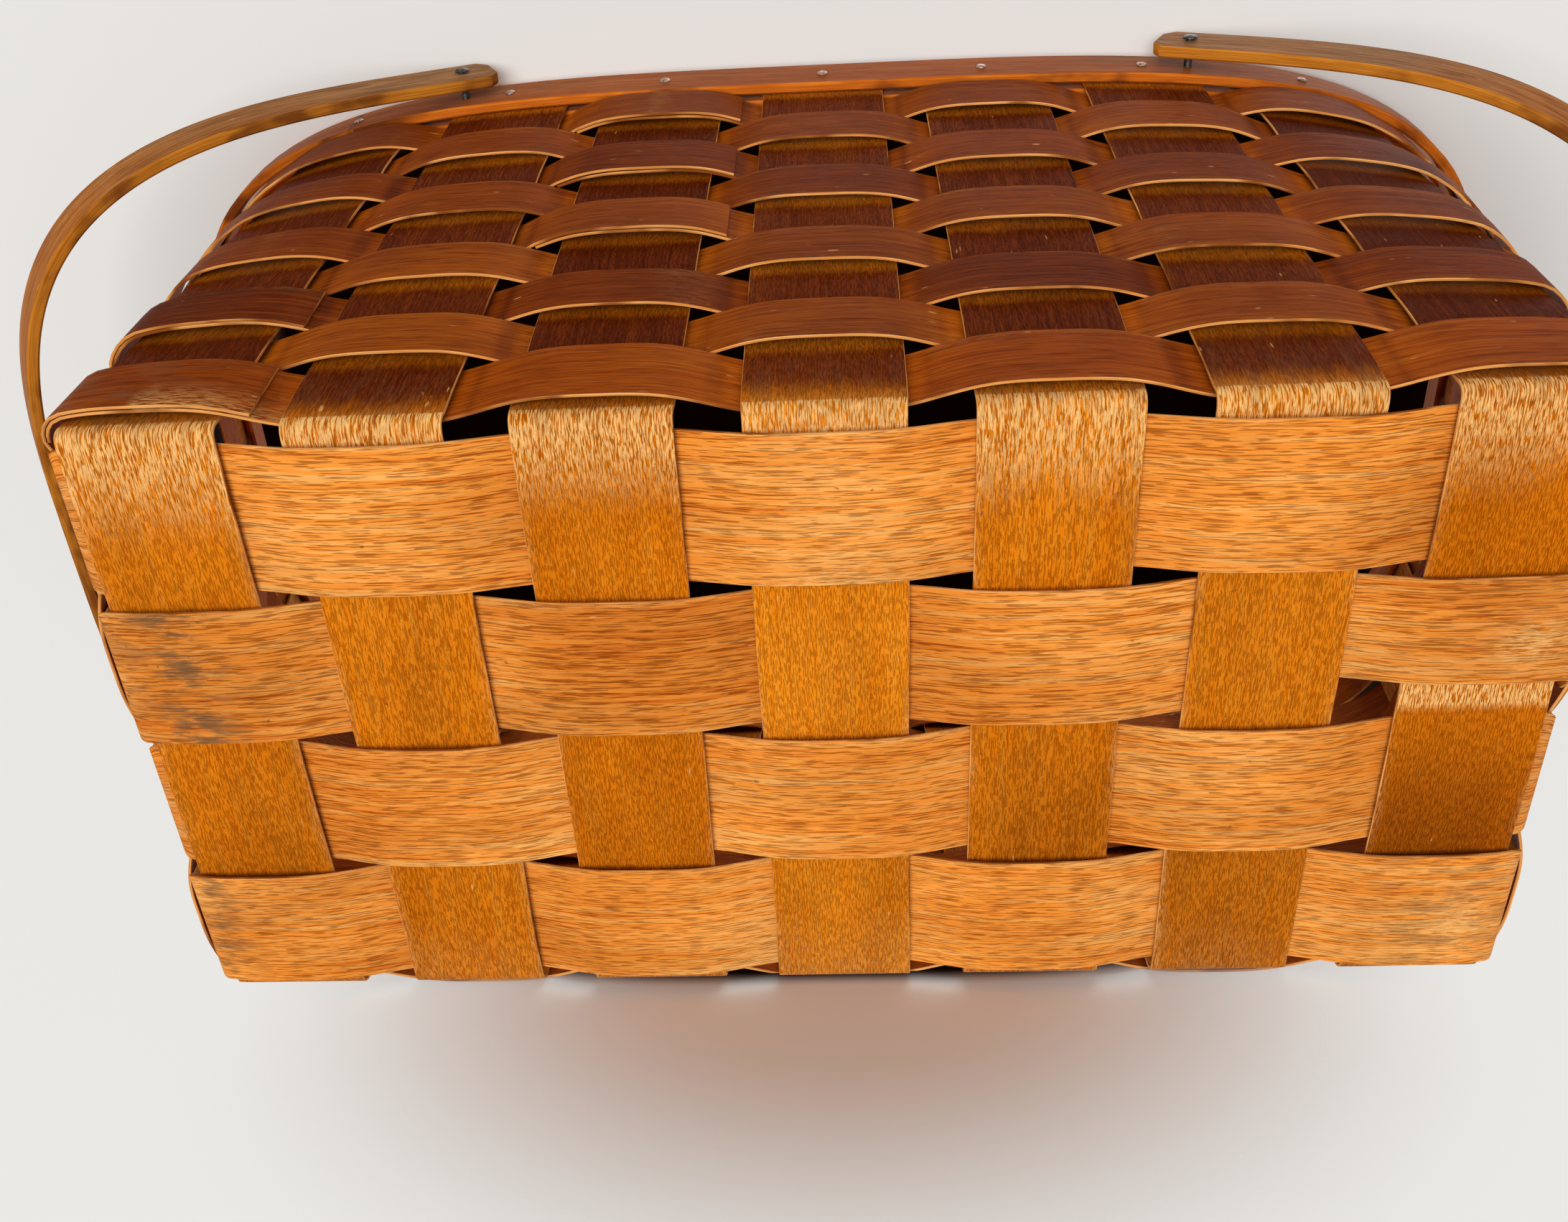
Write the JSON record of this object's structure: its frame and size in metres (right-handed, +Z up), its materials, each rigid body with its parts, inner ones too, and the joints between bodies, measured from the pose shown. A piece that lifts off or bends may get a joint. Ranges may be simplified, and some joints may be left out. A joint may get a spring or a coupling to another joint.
{
  "type": "picnic basket",
  "caption": "Rectangular woven splint basket with flared walls, a nailed rim band and bentwood handles that swing on rivets; open top.",
  "frame": {"origin": "middle of the base, on the surface that the basket stands on", "axes": "+X along the long side, +Y across, +Z up through the open top"},
  "size_m": [0.6356, 0.331, 0.2503],
  "materials": {
    "crosswise_splint": "varnished ash splint, ochre brown with dark pore dashes",
    "lengthwise_splint": "varnished ash splint, light orange with fine long grain",
    "weaver_splint": "varnished splint, reddish brown, bright orange cut edges",
    "rim_wood": "bent wood band, reddish brown, worn grey in places",
    "handle_wood": "bent wood, weathered grey brown outside, orange edges",
    "nail_steel": "dull darkened steel nail",
    "rivet_steel": "dull darkened steel rivet"
  },
  "bodies": {
    "basket": {"crosswise_stake_1": "crosswise_splint", "crosswise_stake_2": "crosswise_splint", "crosswise_stake_3": "crosswise_splint", "crosswise_stake_4": "crosswise_splint", "crosswise_stake_5": "crosswise_splint", "crosswise_stake_6": "crosswise_splint", "crosswise_stake_7": "crosswise_splint", "lengthwise_stake_1": "lengthwise_splint", "lengthwise_stake_2": "lengthwise_splint", "lengthwise_stake_3": "lengthwise_splint", "lengthwise_stake_4": "lengthwise_splint", "weaver_1": "weaver_splint", "weaver_2": "weaver_splint", "weaver_3": "weaver_splint", "weaver_4": "weaver_splint", "weaver_5": "weaver_splint", "weaver_6": "weaver_splint", "weaver_7": "weaver_splint", "weaver_8": "weaver_splint", "weaver_9": "weaver_splint", "outer_rim": "rim_wood", "inner_rim": "rim_wood", "rim_nail_1": "nail_steel", "rim_nail_2": "nail_steel", "rim_nail_3": "nail_steel", "rim_nail_4": "nail_steel", "rim_nail_5": "nail_steel", "rim_nail_6": "nail_steel", "rim_nail_7": "nail_steel", "rim_nail_8": "nail_steel", "rim_nail_9": "nail_steel", "rim_nail_10": "nail_steel", "rim_nail_11": "nail_steel", "rim_nail_12": "nail_steel", "rim_nail_13": "nail_steel", "rim_nail_14": "nail_steel", "rim_nail_15": "nail_steel", "rim_nail_16": "nail_steel", "rim_nail_17": "nail_steel", "rim_nail_18": "nail_steel", "rim_nail_19": "nail_steel", "rim_nail_20": "nail_steel", "rim_nail_21": "nail_steel", "rim_nail_22": "nail_steel", "pivot_rivet_left_front": "rivet_steel", "pivot_rivet_left_back": "rivet_steel", "pivot_rivet_right_front": "rivet_steel", "pivot_rivet_right_back": "rivet_steel"},
    "left_handle": {"handle_left": "handle_wood"},
    "right_handle": {"handle_right": "handle_wood"}
  },
  "joints": [
    {"name": "left_handle_swing", "type": "hinge", "parent": "basket", "child": "left_handle", "pos_m": [-0.1465, 0, 0.237], "axis": [0, 1, 0], "range_deg": [-20, 165]},
    {"name": "right_handle_swing", "type": "hinge", "parent": "basket", "child": "right_handle", "pos_m": [0.1465, 0, 0.237], "axis": [0, -1, 0], "range_deg": [-20, 165]}
  ]
}
